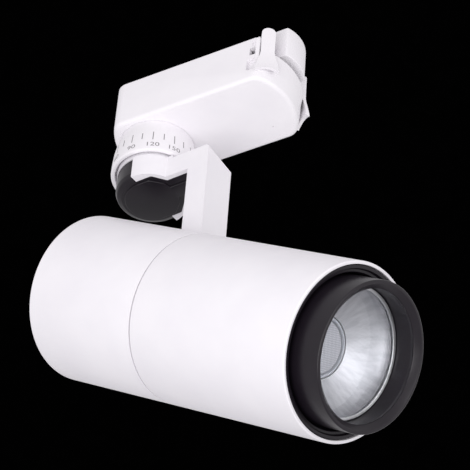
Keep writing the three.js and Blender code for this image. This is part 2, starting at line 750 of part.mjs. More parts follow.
function reflector() {
  const wall = 0.8;
  const mouth = 23.2;
  const throat = 12;
  const throat_x = emitter_x + 1.6;
  const mouth_x = glass_front_x - 1.4;
  const steps = 3;
  const inner = [];
  for (let i = 0; i <= steps; i += 1) {
    const along = i / steps;
    inner.push([throat + (mouth - throat) * Math.sin((along * Math.PI) / 2), throat_x + (mouth_x - throat_x) * along]);
  }
  const outer = inner.slice(0, steps).map(([radius, x]) => [radius + wall, x - wall * 0.4]).reverse();
  return turnedX([...inner, [barrel_bore - gap, mouth_x], [barrel_bore - gap, mouth_x - 0.9], ...outer]);
}

const glass = pinAlongX(barrel_bore - gap, glass_front_x - 1.1, glass_front_x, 0, 0, round_steps);
const retainer = turnedX([
  [22.9, glass_front_x + gap],
  [barrel_bore - gap, glass_front_x + gap],
  [barrel_bore - gap, glass_front_x + 1.1],
  [22.9, glass_front_x + 0.8],
]);
place(head, 'zoom_barrel', zoomBarrel(), black_plastic());
place(head, 'reflector', reflector(), mirror());
place(head, 'lens_glass', glass, clear());
place(head, 'lens_retainer', retainer, steel());

export default light;
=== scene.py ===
"""Track spotlight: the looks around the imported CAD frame. Lengths below are in millimetres and become metres
when a mesh is made. Three places hold the shapes: the part frame (adapter), the arm's frame (z on the swivel
axis, x towards the leg) and the head's frame (x along the tube towards the light, y on the tilt axis)."""
import json
import math

import bmesh
import bpy
from mathutils import Matrix, Vector


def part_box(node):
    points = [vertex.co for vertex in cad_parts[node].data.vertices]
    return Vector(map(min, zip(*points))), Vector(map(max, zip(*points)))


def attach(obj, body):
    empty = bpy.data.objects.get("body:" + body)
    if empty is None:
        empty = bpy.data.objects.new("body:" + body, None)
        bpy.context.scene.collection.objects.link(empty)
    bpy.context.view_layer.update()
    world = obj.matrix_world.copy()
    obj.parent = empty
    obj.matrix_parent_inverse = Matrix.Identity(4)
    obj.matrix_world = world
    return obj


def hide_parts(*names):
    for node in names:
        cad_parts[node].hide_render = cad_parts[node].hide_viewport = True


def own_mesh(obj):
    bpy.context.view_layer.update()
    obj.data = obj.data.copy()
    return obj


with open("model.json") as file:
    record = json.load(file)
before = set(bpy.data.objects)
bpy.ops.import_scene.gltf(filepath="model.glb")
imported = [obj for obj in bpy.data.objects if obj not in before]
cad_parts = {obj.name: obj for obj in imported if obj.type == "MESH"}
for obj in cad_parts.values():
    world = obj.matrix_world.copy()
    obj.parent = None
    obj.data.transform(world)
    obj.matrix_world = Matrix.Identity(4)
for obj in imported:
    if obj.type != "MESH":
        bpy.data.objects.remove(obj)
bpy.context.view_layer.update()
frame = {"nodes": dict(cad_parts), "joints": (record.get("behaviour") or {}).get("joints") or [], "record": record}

MM = 0.001
scene = bpy.context.scene
joints = {joint["name"]: joint for joint in frame["joints"]}

FINE = 144                            # steps round the large turned pieces
MEDIUM = 72
SOFT_ANGLE = math.radians(28)         # edges sharper than this stay sharp


# ---------- places ----------
def local_frame(origin, x_axis, y_axis):
    x_axis = Vector(x_axis).normalized()
    z_axis = x_axis.cross(Vector(y_axis)).normalized()
    y_axis = z_axis.cross(x_axis)
    matrix = Matrix((x_axis, y_axis, z_axis)).transposed().to_4x4()
    matrix.translation = Vector(origin)
    return matrix


tilt_axis = Vector(joints["tilt"]["axis"]).normalized()
PART = Matrix.Identity(4)
ARM = local_frame((0, 0, 0), tilt_axis.cross(Vector(joints["pan"]["axis"])), tilt_axis)
HEAD = local_frame(joints["tilt"]["pos_m"], joints["zoom"]["axis"], tilt_axis)


def span(node, place):
    """Lowest and highest corner of a CAD node in a place, in millimetres."""
    back = place.inverted()
    points = [(back @ vertex.co) / MM for vertex in frame["nodes"][node].data.vertices]
    low = Vector([min(point[i] for point in points) for i in range(3)])
    high = Vector([max(point[i] for point in points) for i in range(3)])
    return low, high


def turned_span(node):
    """A turned head piece's lowest and highest x and its smallest and largest radius."""
    back = HEAD.inverted()
    points = [(back @ vertex.co) / MM for vertex in frame["nodes"][node].data.vertices]
    radii = [math.hypot(point.y, point.z) for point in points]
    xs = [point.x for point in points]
    return min(xs), max(xs), min(radii), max(radii)


# ---------- camera, light and stage (metres) ----------
CAMERA_BACK = Vector((0.37782, -0.62630, -0.6820)).normalized()
CAMERA_RIGHT = Vector((0.88073, 0.47023, 0.0561))
CAMERA_PLACE = Vector((0.3802, -0.5636, -0.7135))
CAMERA_LENS = 180.46
CAMERA_SENSOR = 36
AIM = Vector((0.030, 0.0, -0.110))    # middle of the light
FLOOR_Z = -1.6
FLOOR_HALF = 4.0
PANEL_DISTANCE = 1.5
PANEL_HALF = 0.30


def make_camera():
    right = (CAMERA_RIGHT - CAMERA_BACK * CAMERA_RIGHT.dot(CAMERA_BACK)).normalized()
    matrix = Matrix((right, CAMERA_BACK.cross(right), CAMERA_BACK)).transposed().to_4x4()
    matrix.translation = CAMERA_PLACE
    camera = bpy.data.objects.new("camera", bpy.data.cameras.new("camera"))
    camera.data.lens = CAMERA_LENS
    camera.data.sensor_width = CAMERA_SENSOR
    camera.matrix_world = matrix
    scene.collection.objects.link(camera)
    scene.camera = camera


make_camera()


def soft_light(name, direction, distance, size, power):
    lamp = bpy.data.lights.new(name, "AREA")
    lamp.shape = "DISK"
    lamp.size = size
    lamp.energy = power
    holder = bpy.data.objects.new(name, lamp)
    holder.location = AIM + Vector(direction).normalized() * distance
    holder.rotation_euler = (AIM - holder.location).to_track_quat("-Z", "Y").to_euler()
    scene.collection.objects.link(holder)


def make_lights():
    world = bpy.data.worlds.new("studio")
    world.use_nodes = True
    background = world.node_tree.nodes["Background"]
    background.inputs["Color"].default_value = (0.98, 0.965, 0.99, 1)
    background.inputs["Strength"].default_value = 0.72
    scene.world = world
    scene.view_settings.view_transform = "Standard"
    soft_light("key", (0.05, -0.72, -0.66), distance=1.1, size=1.0, power=8.0)
    soft_light("side", (1.0, -0.2, -0.4), distance=1.2, size=0.9, power=4.6)


# ---------- materials ----------
def shader(name, colour, roughness, metallic=0.0, **sockets):
    material = bpy.data.materials.new(name)
    material.use_nodes = True
    tree = material.node_tree
    principled = tree.nodes["Principled BSDF"]
    principled.inputs["Base Color"].default_value = (*colour, 1)
    principled.inputs["Roughness"].default_value = roughness
    principled.inputs["Metallic"].default_value = metallic
    for socket, value in sockets.items():
        principled.inputs[socket.replace("_", " ")].default_value = value
    return material, tree, principled


def node(tree, kind, **values):
    made = tree.nodes.new(kind)
    for key, value in values.items():
        setattr(made, key, value)
    return made


def object_noise(tree, scale, detail=3.0, roughness=0.55, stretch=(1, 1, 1)):
    place = node(tree, "ShaderNodeTexCoord")
    mapping = node(tree, "ShaderNodeMapping")
    mapping.inputs["Scale"].default_value = stretch
    noise = node(tree, "ShaderNodeTexNoise")
    noise.inputs["Scale"].default_value = scale
    noise.inputs["Detail"].default_value = detail
    noise.inputs["Roughness"].default_value = roughness
    tree.links.new(place.outputs["Object"], mapping.inputs["Vector"])
    tree.links.new(mapping.outputs["Vector"], noise.inputs["Vector"])
    return noise.outputs["Fac"]


def ranged(tree, value, low, high):
    scaled = node(tree, "ShaderNodeMapRange")
    scaled.inputs["To Min"].default_value = low
    scaled.inputs["To Max"].default_value = high
    tree.links.new(value, scaled.inputs["Value"])
    return scaled.outputs["Result"]


def tinted(tree, value, dark, light, low=0.3, high=0.7):
    ramp = node(tree, "ShaderNodeValToRGB")
    ramp.color_ramp.elements[0].position = low
    ramp.color_ramp.elements[1].position = high
    ramp.color_ramp.elements[0].color = (*dark, 1)
    ramp.color_ramp.elements[1].color = (*light, 1)
    tree.links.new(value, ramp.inputs["Fac"])
    return ramp.outputs["Color"]


def add_bump(tree, principled, height, strength, distance):
    bump = node(tree, "ShaderNodeBump")
    bump.inputs["Strength"].default_value = strength
    bump.inputs["Distance"].default_value = distance
    tree.links.new(height, bump.inputs["Height"])
    tree.links.new(bump.outputs["Normal"], principled.inputs["Normal"])


def grained(name, dark, light, roughness, grain=1600.0, **sockets):
    """A coated or moulded surface: cloudy colour, uneven gloss and a fine grain."""
    material, tree, principled = shader(name, light, roughness, **sockets)
    cloud = object_noise(tree, 55.0)
    tree.links.new(tinted(tree, cloud, dark, light), principled.inputs["Base Color"])
    patches = object_noise(tree, 240.0, 2.0)
    tree.links.new(ranged(tree, patches, roughness - 0.05, roughness + 0.06), principled.inputs["Roughness"])
    add_bump(tree, principled, object_noise(tree, grain, 2.0), strength=0.25, distance=0.00003)
    return material


def brushed(name, dark, light, roughness, stretch):
    """Turned or drawn metal, with fine lines across the stretch."""
    material, tree, principled = shader(name, light, roughness, 1.0)
    lines = object_noise(tree, 900.0, 4.0, 0.6, stretch)
    tree.links.new(tinted(tree, lines, dark, light), principled.inputs["Base Color"])
    tree.links.new(ranged(tree, lines, roughness - 0.07, roughness + 0.1), principled.inputs["Roughness"])
    add_bump(tree, principled, lines, strength=0.12, distance=0.00002)
    return material


def local_polar(tree):
    """Distance from the head's axis and angle round it, read from the mesh's own place attribute."""
    attribute = node(tree, "ShaderNodeAttribute", attribute_name="place")
    split = node(tree, "ShaderNodeSeparateXYZ")
    tree.links.new(attribute.outputs["Vector"], split.inputs["Vector"])
    angle = node(tree, "ShaderNodeMath", operation="ARCTAN2")
    tree.links.new(split.outputs["Z"], angle.inputs[0])
    tree.links.new(split.outputs["Y"], angle.inputs[1])
    radius = node(tree, "ShaderNodeVectorMath", operation="LENGTH")
    flat = node(tree, "ShaderNodeCombineXYZ")
    tree.links.new(split.outputs["Y"], flat.inputs["Y"])
    tree.links.new(split.outputs["Z"], flat.inputs["Z"])
    tree.links.new(flat.outputs["Vector"], radius.inputs[0])
    return split, angle.outputs["Value"], radius.outputs["Value"]


def calculated(tree, operation, first, second=None):
    made = node(tree, "ShaderNodeMath", operation=operation)
    for socket, value in zip(made.inputs, (first, second)):
        if value is None:
            continue
        if isinstance(value, (int, float)):
            socket.default_value = value
        else:
            tree.links.new(value, socket)
    return made.outputs["Value"]


def mirror_material():
    """The reflector: vacuum-coated plastic with fine streaks from throat to mouth and small dimples."""
    dimples_round = 60.0
    dimples_deep = 5.2                # waves for each millimetre of depth, in radians
    material, tree, principled = shader("reflector_mirror", (0.52, 0.52, 0.535), 0.5, 1.0)
    split, angle, radius = local_polar(tree)
    streak_place = node(tree, "ShaderNodeCombineXYZ")
    tree.links.new(calculated(tree, "COSINE", angle), streak_place.inputs["X"])
    tree.links.new(calculated(tree, "SINE", angle), streak_place.inputs["Y"])
    tree.links.new(calculated(tree, "MULTIPLY", radius, 0.02), streak_place.inputs["Z"])
    streaks = node(tree, "ShaderNodeTexNoise")
    streaks.inputs["Scale"].default_value = 11.0
    streaks.inputs["Detail"].default_value = 5.0
    tree.links.new(streak_place.outputs["Vector"], streaks.inputs["Vector"])
    colour = tinted(tree, streaks.outputs["Fac"], (0.47, 0.465, 0.485), (0.57, 0.565, 0.58), 0.36, 0.62)
    tree.links.new(colour, principled.inputs["Base Color"])
    tree.links.new(ranged(tree, streaks.outputs["Fac"], 0.46, 0.58), principled.inputs["Roughness"])
    round_wave = calculated(tree, "SINE", calculated(tree, "MULTIPLY", angle, dimples_round))
    depth_wave = calculated(tree, "SINE", calculated(tree, "MULTIPLY", split.outputs["X"], dimples_deep))
    dimples = calculated(tree, "MULTIPLY", round_wave, depth_wave)
    height = calculated(tree, "ADD", calculated(tree, "MULTIPLY", dimples, 0.5), streaks.outputs["Fac"])
    add_bump(tree, principled, height, strength=0.22, distance=0.00008)
    return material


def emitter_material():
    """The light's chip: a pale face with a fine square grid of dots."""
    material, tree, principled = shader("emitter", (0.7, 0.7, 0.74), 0.35)
    split = local_polar(tree)[0]
    dot_pitch = 0.85
    waves = 2 * math.pi / dot_pitch
    across = calculated(tree, "SINE", calculated(tree, "MULTIPLY", split.outputs["Y"], waves))
    up = calculated(tree, "SINE", calculated(tree, "MULTIPLY", split.outputs["Z"], waves))
    dots = calculated(tree, "MULTIPLY", across, up)
    colour = tinted(tree, dots, (0.30, 0.30, 0.325), (0.60, 0.595, 0.62), 0.0, 0.6)
    tree.links.new(colour, principled.inputs["Base Color"])
    add_bump(tree, principled, dots, strength=0.3, distance=0.00005)
    return material


def clear_material(name, tint, roughness, ior, ripple, cloud=0.0):
    """Clear glass or plastic that lets the light behind it through, apart from a cloudy share."""
    material, tree, principled = shader(name, tint, roughness, 0.0, Transmission_Weight=1.0 - cloud, IOR=ior)
    add_bump(tree, principled, object_noise(tree, 120.0, 2.0), strength=ripple, distance=0.00002)
    output = next(item for item in tree.nodes if item.type == "OUTPUT_MATERIAL")
    path = node(tree, "ShaderNodeLightPath")
    open_way = node(tree, "ShaderNodeBsdfTransparent")
    open_way.inputs["Color"].default_value = (*tint, 1)
    mix = node(tree, "ShaderNodeMixShader")
    tree.links.new(path.outputs["Is Shadow Ray"], mix.inputs["Fac"])
    tree.links.new(principled.outputs["BSDF"], mix.inputs[1])
    tree.links.new(open_way.outputs["BSDF"], mix.inputs[2])
    tree.links.new(mix.outputs["Shader"], output.inputs["Surface"])
    return material


materials = {
    "white_paint": grained("white_paint", (0.80, 0.775, 0.815), (0.835, 0.81, 0.845), 0.44),
    "white_plastic": grained("white_plastic", (0.81, 0.785, 0.82), (0.845, 0.82, 0.85), 0.38, grain=900.0),
    "black_plastic": grained("black_plastic", (0.0070, 0.0048, 0.0082), (0.0105, 0.0076, 0.0118), 0.33,
                              grain=1500.0, Specular_IOR_Level=0.4),
    "grey_plastic": grained("grey_plastic", (0.50, 0.50, 0.52), (0.58, 0.58, 0.60), 0.5),
    "ink": grained("ink", (0.20, 0.19, 0.20), (0.26, 0.25, 0.26), 0.6),
    # painted shade: the coupling sleeve is made near black so that the seam gap between the tube halves reads as a
    # shaded line; the real sleeve is bare aluminium
    "sleeve_painted_shade": grained("sleeve_painted_shade", (0.020, 0.020, 0.022), (0.034, 0.033, 0.036), 0.55),
    "bare_aluminium": brushed("bare_aluminium", (0.60, 0.61, 0.63), (0.80, 0.81, 0.83), 0.3, (1, 0.08, 1)),
    "steel": brushed("steel", (0.42, 0.42, 0.43), (0.62, 0.62, 0.63), 0.28, (0.2, 1, 1)),
    "copper": brushed("copper", (0.45, 0.22, 0.13), (0.75, 0.42, 0.28), 0.3, (0.2, 1, 1)),
    "rubber": grained("rubber", (0.018, 0.018, 0.018), (0.03, 0.03, 0.03), 0.7, grain=700.0),
    "lead_sheath": grained("lead_sheath", (0.55, 0.55, 0.56), (0.66, 0.66, 0.67), 0.55),
    "reflector_mirror": mirror_material(),
    "emitter": emitter_material(),
    "lens_glass": clear_material("lens_glass", (0.97, 0.98, 1.0), 0.02, 1.45, 0.02),
    "clear_plastic": clear_material("clear_plastic", (0.93, 0.95, 1.0), 0.12, 1.49, 0.15, 0.35),
}


# ---------- mesh making ----------
def rounded(points, steps=4):
    """A closed outline of (a, b) or (a, b, radius) points, with an arc at each point that has a radius."""
    result = []
    count = len(points)
    for i, point in enumerate(points):
        here = Vector(point[:2])
        radius = point[2] if len(point) > 2 else 0
        if radius == 0:
            result.append(tuple(here))
            continue
        before = Vector(points[i - 1][:2]) - here
        after = Vector(points[(i + 1) % count][:2]) - here
        half = before.angle(after) / 2
        cut = min(radius / math.tan(half), 0.48 * before.length, 0.48 * after.length)
        start = here + before.normalized() * cut
        end = here + after.normalized() * cut
        for k in range(steps + 1):
            t = k / steps
            bend = start * (1 - t) ** 2 + here * 2 * t * (1 - t) + end * t ** 2
            result.append(tuple(bend))
    return result


def to_mesh(name, bm):
    """Turns a bmesh in millimetres into a metre mesh with its faces outwards and its place kept."""
    bmesh.ops.recalc_face_normals(bm, faces=bm.faces)
    mesh = bpy.data.meshes.new(name)
    bm.to_mesh(mesh)
    bm.free()
    places = [component for vertex in mesh.vertices for component in vertex.co]
    mesh.attributes.new("place", "FLOAT_VECTOR", "POINT").data.foreach_set("vector", places)
    mesh.transform(Matrix.Scale(MM, 4))
    mesh.shade_smooth()
    mesh.set_sharp_from_angle(angle=SOFT_ANGLE)
    return mesh


def bridge(bm, lower, upper, closed=True):
    count = len(lower)
    for i in range(count if closed else count - 1):
        j = (i + 1) % count
        corners = [lower[i], lower[j], upper[j], upper[i]]
        unique = [corner for k, corner in enumerate(corners) if corner not in corners[:k]]
        if len(unique) > 2:
            bm.faces.new(unique)


def lathe(bm, outline, steps, axis, start=0.0, turn=2 * math.pi, opening=0.0):
    """Turns a closed (radius, height) outline. A part turn, or one open at the top, gets end faces."""
    whole = turn > 2 * math.pi - 1e-6 and opening == 0
    columns = []
    for radius, height in outline:
        if opening:
            half = math.asin(opening / radius)
            first, sweep = math.pi / 2 + half, 2 * math.pi - 2 * half
        else:
            first, sweep = start, turn
        column = []
        for k in range(steps if whole else steps + 1):
            if radius < 1e-6 and column:
                column.append(column[0])
                continue
            angle = first + sweep * k / steps
            across, up = radius * math.cos(angle), radius * math.sin(angle)
            column.append(bm.verts.new((height, across, up) if axis == "x" else (across, up, height)))
        columns.append(column)
    for i, column in enumerate(columns):
        following = columns[(i + 1) % len(columns)]
        if outline[i][0] < 1e-6 and outline[(i + 1) % len(outline)][0] < 1e-6:
            continue
        bridge(bm, column, following, closed=whole)
    if not whole:
        for k in (0, steps):
            ends = []
            for column in columns:
                if column[k] not in ends:
                    ends.append(column[k])
            bm.faces.new(ends)


def turned_mesh(name, outline, steps=FINE, axis="x", **part_turn):
    bm = bmesh.new()
    lathe(bm, outline, steps, axis, **part_turn)
    return to_mesh(name, bm)


def loft(bm, rings):
    """Closed rings of points joined one after another, with a face over the first and the last."""
    made = [[bm.verts.new(point) for point in ring] for ring in rings]
    for lower, upper in zip(made, made[1:]):
        bridge(bm, lower, upper)
    bm.faces.new(made[0])
    bm.faces.new(made[-1])


def inset(outline, distance):
    """An outline moved inwards by a distance, with its corners kept."""
    points = [Vector(point) for point in outline]
    count = len(points)
    area = sum(points[i - 1].cross(points[i]) for i in range(count))
    turn = 1 if area > 0 else -1
    result = []
    for i, here in enumerate(points):
        before = (here - points[i - 1]).normalized()
        after = (points[(i + 1) % count] - here).normalized()
        first = Vector((-before.y, before.x)) * turn
        second = Vector((-after.y, after.x)) * turn
        middle = (first + second).normalized()
        result.append(tuple(here + middle * distance / max(middle.dot(first), 0.4)))
    return result


def prism(outline, low, high, edge=0.0):
    """An outline of (x, y) points raised from low to high, with its rims rounded by a radius of edge."""
    steps = 3
    rings = []

    def add_ring(z, distance):
        ring = inset(outline, distance) if distance > 1e-6 else outline
        rings.append([(x, y, z) for x, y in ring])

    turns = [math.pi / 2 * k / steps for k in range(steps + 1)] if edge else [0]
    for turn in reversed(turns):
        add_ring(low + edge * (1 - math.sin(turn)), edge * (1 - math.cos(turn)))
    for turn in turns:
        add_ring(high - edge * (1 - math.sin(turn)), edge * (1 - math.cos(turn)))
    bm = bmesh.new()
    loft(bm, rings)
    return to_mesh("prism", bm)


def block(x0, x1, y0, y1, z0, z1):
    return prism([(x0, y0), (x1, y0), (x1, y1), (x0, y1)], z0, z1)


def drum(radius, low, high, centre=(0, 0), steps=MEDIUM):
    outline = []
    for k in range(steps):
        angle = 2 * math.pi * k / steps
        outline.append((centre[0] + radius * math.cos(angle), centre[1] + radius * math.sin(angle)))
    return prism(outline, low, high)


def moved(mesh, matrix):
    mesh.transform(Matrix.Scale(MM, 4) @ matrix @ Matrix.Scale(1 / MM, 4))
    if matrix.determinant() < 0:
        mesh.flip_normals()
    return mesh


def carved(name, base, joined=(), cut=()):
    """Joins and cuts meshes exactly, and clears the flat faces that the cuts leave in pieces."""
    helpers = []

    def stand(mesh):
        holder = bpy.data.objects.new("tool", mesh)
        scene.collection.objects.link(holder)
        helpers.append(holder)
        return holder

    body = stand(base)
    for meshes, operation in ((joined, "UNION"), (cut, "DIFFERENCE")):
        for mesh in meshes:
            modifier = body.modifiers.new("carve", "BOOLEAN")
            modifier.operation = operation
            modifier.solver = "EXACT"
            modifier.object = stand(mesh)
    bpy.context.view_layer.update()
    result = bpy.data.meshes.new_from_object(body.evaluated_get(bpy.context.evaluated_depsgraph_get()))
    for holder in helpers:
        bpy.data.objects.remove(holder)
    bm = bmesh.new()
    bm.from_mesh(result)
    bmesh.ops.remove_doubles(bm, verts=bm.verts, dist=0.004 * MM)
    bmesh.ops.dissolve_limit(bm, angle_limit=math.radians(0.6), verts=bm.verts, edges=bm.edges)
    bm.to_mesh(result)
    bm.free()
    result.name = name
    result.shade_smooth()
    result.set_sharp_from_angle(angle=SOFT_ANGLE)
    return result


def merged(name, meshes):
    """Lays meshes side by side in one."""
    bm = bmesh.new()
    for mesh in meshes:
        bm.from_mesh(mesh)
    result = bpy.data.meshes.new(name)
    bm.to_mesh(result)
    bm.free()
    result.shade_smooth()
    result.set_sharp_from_angle(angle=SOFT_ANGLE)
    return result


def piece(name, mesh, place, body, slot, stands_for=(), edge=0.0, material=None):
    """Places a mesh, rounds its edges, gives it its material and its body, and hides the CAD nodes it stands for.
    """
    mesh.name = name
    mesh.transform(place)
    holder = bpy.data.objects.new(name, mesh)
    scene.collection.objects.link(holder)
    mesh.materials.clear()
    mesh.materials.append(materials[material or slot])
    if edge:
        soften(holder, edge)
    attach(holder, body)
    if stands_for:
        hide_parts(*stands_for)
    return holder


def soften(holder, edge, segments=3):
    bevel = holder.modifiers.new("edges", "BEVEL")
    bevel.width = edge * MM
    bevel.segments = segments
    bevel.limit_method = "ANGLE"
    bevel.angle_limit = SOFT_ANGLE
    bevel.harden_normals = True
    bevel.use_clamp_overlap = True


# ---------- adapter ----------
adapter_low, adapter_high = span("adapter_housing", PART)
UNDERSIDE_Z = adapter_low.z
SHOULDER_Z = adapter_high.z
ADAPTER_WALL = 2.0
ADAPTER_FLOOR = 2.2
ADAPTER_END_RADIUS = 28.0
ADAPTER_CORNER = 5.5
ADAPTER_EDGE = 1.7
END_LEAN = 0.12                       # the front end leans out this much for each step up
END_LEVEL_Z = UNDERSIDE_Z + 4.0       # where its reach is the CAD's
PIN_MARK = (48.5, 9.5)
SLOT_FLOOR_Z = -19.8                  # the latch's nose comes down to here
NOSE_BAY_HALF = 15.3
WING_ANGLE = 55.0
WING_CENTRE = (58.1, 15.3)
WING_BAY_Z = UNDERSIDE_Z + 8.3        # the wings' bays start here
WING_BAY_HALF = 3.3
WING_BAY_DEPTH = 6.2
RELIEF_HALF = 5                       # a shallow hollow round each wing
RELIEF_DEPTH = 0.5
PAST_WALL = 8
SPINDLE_HOLE = 6.3
FAR_OUT = 90                          # beyond the light, for the ends of cutting blocks
ABOVE_ALL = 10

# Three windows beside each wing: rear and front x, bottom and top z, depth into the wall, corner radius.
SIDE_WINDOWS = (
    (52.3, 53.8, -16.7, -13.6, 0.6, 0),
    (51.3, 53.8, -21.5, -17.2, 3.0, 0),
    (50.2, 53.8, -30.0, -23.5, 1.7, 1.0),
)


def arc(centre, radius, first, last, steps):
    """Points on an arc between two angles in degrees."""
    points = []
    for k in range(steps + 1):
        angle = math.radians(first + (last - first) * k / steps)
        points.append((centre[0] + radius * math.cos(angle), centre[1] + radius * math.sin(angle)))
    return points


def arc_end(middle, half, radius, corner, steps):
    """Half of a plan outline that faces +x: a shallow arc between two rounded corners."""
    centre_x = middle - radius
    reach = math.sqrt((radius - corner) ** 2 - (half - corner) ** 2)
    turn = math.degrees(math.atan2(half - corner, reach))
    corner_x = centre_x + reach
    lower = arc((corner_x, corner - half), corner, -90, -turn, 6)
    front = arc((centre_x, 0), radius, -turn, turn, steps)
    upper = arc((corner_x, half - corner), corner, turn, 90, 6)
    return lower[:-1] + front + upper[1:]


def adapter_outline(inwards, z):
    """The adapter's plan at a height, moved inwards. Its front end leans out upwards."""
    lean = END_LEAN * (z - END_LEVEL_Z)
    half = (adapter_high.y - adapter_low.y) / 2 - inwards
    radius = ADAPTER_END_RADIUS - inwards
    corner = max(ADAPTER_CORNER - inwards, 0.8)
    front = arc_end(adapter_high.x + lean - inwards, half, radius, corner, 24)
    rear = arc_end(-adapter_low.x - inwards, half, radius, corner, 24)
    return front + [(-x, -y) for x, y in rear]


def wing_place(side):
    turn = math.radians(side * WING_ANGLE - 90)
    return Matrix.Translation((WING_CENTRE[0], side * WING_CENTRE[1], 0)) @ Matrix.Rotation(turn, 4, "Z")


def housing_shell():
    """Floor, walls and rounded lower edge as one closed skin."""
    rings = []
    steps = 5
    for k in range(steps + 1):
        turn = math.pi / 2 * k / steps
        inwards = ADAPTER_EDGE * (1 - math.sin(turn))
        z = UNDERSIDE_Z + ADAPTER_EDGE * (1 - math.cos(turn))
        rings.append([(x, y, z) for x, y in adapter_outline(inwards, z)])
    floor_z = UNDERSIDE_Z + ADAPTER_FLOOR
    for inwards, z in ((0, SHOULDER_Z), (ADAPTER_WALL, SHOULDER_Z), (ADAPTER_WALL, floor_z)):
        rings.append([(x, y, z) for x, y in adapter_outline(inwards, z)])
    bm = bmesh.new()
    loft(bm, rings)
    return to_mesh("housing", bm)


def rounded_pocket(x0, x1, y0, y1, z0, z1, corner):
    """A block along y whose outline in x and z has rounded corners."""
    outline = rounded([(x0, z0, corner), (x1, z0, corner), (x1, z1, corner), (x0, z1, corner)])
    mesh = prism(outline, y0, y1)
    return moved(mesh, Matrix(((1, 0, 0, 0), (0, 0, 1, 0), (0, 1, 0, 0), (0, 0, 0, 1))))


def make_adapter_housing():
    side = adapter_high.y
    cuts = [
        block(55.2, FAR_OUT, -30, 30, SLOT_FLOOR_Z, ABOVE_ALL),
        block(50.2, FAR_OUT, -NOSE_BAY_HALF, NOSE_BAY_HALF, SLOT_FLOOR_Z, ABOVE_ALL),
        drum(SPINDLE_HOLE, UNDERSIDE_Z - 5, UNDERSIDE_Z + 6),
        drum(0.35, UNDERSIDE_Z - 1, UNDERSIDE_Z + 0.5, PIN_MARK, 16),
    ]
    for sign in (-1, 1):
        bay = block(-WING_BAY_HALF, WING_BAY_HALF, -WING_BAY_DEPTH, PAST_WALL, WING_BAY_Z, ABOVE_ALL)
        relief = block(-RELIEF_HALF, RELIEF_HALF, -RELIEF_DEPTH, PAST_WALL, WING_BAY_Z, ABOVE_ALL)
        cuts.append(moved(bay, wing_place(sign)))
        cuts.append(moved(relief, wing_place(sign)))
        for rear_x, front_x, bottom_z, top_z, depth, corner in SIDE_WINDOWS:
            inner, outer = sorted((sign * (side - depth), sign * (side + 1)))
            cuts.append(rounded_pocket(rear_x, front_x, inner, outer, bottom_z, top_z, corner))
    mesh = carved("adapter_shell", housing_shell(), cut=cuts)
    piece("adapter_shell", mesh, PART, "adapter", "white_plastic", ["adapter_housing"])


# ---------- latch ----------
NOSE_X, _, LATCH_TOP_Z = span("lock_latch", PART)[1]
NOSE_BACK_X = 50.6
NOSE_HALF = 8.0
NOSE_RADIUS = 16.0
NOSE_CORNER = 0.9
NOSE_RIM = 0.45
NOSE_BOTTOM_Z = -16.3


def nose_ring(inwards, z):
    """The nose's plan at a height: a flat back and an arc front."""
    front = arc_end(NOSE_X - inwards, NOSE_HALF - inwards, NOSE_RADIUS, NOSE_CORNER, 16)
    back_x = NOSE_BACK_X + inwards
    outline = [(back_x, -NOSE_HALF + inwards)] + front + [(back_x, NOSE_HALF - inwards)]
    return [(x, y, z) for x, y in outline]


def nose_mesh():
    """The nose block with rounded rims."""
    turns = [math.pi / 2 * k / 3 for k in range(4)]
    rings = [nose_ring(NOSE_RIM * (1 - math.sin(turn)), NOSE_BOTTOM_Z + NOSE_RIM * (1 - math.cos(turn)))
             for turn in turns]
    rings += [nose_ring(NOSE_RIM * (1 - math.cos(turn)), LATCH_TOP_Z - NOSE_RIM * (1 - math.sin(turn)))
              for turn in turns]
    bm = bmesh.new()
    loft(bm, rings)
    return to_mesh("nose", bm)


WING_POST_HALF = 2.8
WING_TAB_HALF = 4.7
WING_TOP_Z = -5.7
WING_CREASE_Z = -20.6
WING_BOTTOM_Z = -31.6
WING_POST_DEPTH = 5.4
WING_TAB_DEPTH = 1.3
WING_FLARE = 1.2                      # how far the tab's lower edge stands out
WING_SCOOP = 1.6                      # how far that edge is hollowed in the middle
WING_SPREAD_Z = WING_CREASE_Z + 1.2   # the post starts to widen here
WING_SHOULDER_Z = WING_TOP_Z - WING_POST_HALF


def wing_rows():
    """Heights down a wing, each with the wing's half width there."""
    rows = []
    for degrees in (86, 75, 60, 45, 30, 15, 0):
        turn = math.radians(degrees)
        rows.append((WING_SHOULDER_Z + WING_POST_HALF * math.sin(turn), WING_POST_HALF * math.cos(turn)))
    for t in (0.66, 0.33, 0.0):
        rows.append((WING_SPREAD_Z + t * (WING_SHOULDER_Z - WING_SPREAD_Z), WING_POST_HALF))
    below = 14
    for k in range(1, below + 1):
        t = k / below
        spread = (t * t * (3 - 2 * t)) ** 0.8
        half = WING_POST_HALF + (WING_TAB_HALF - WING_POST_HALF) * spread
        rows.append((WING_SPREAD_Z + (WING_BOTTOM_Z - WING_SPREAD_Z) * t, half))
    return rows


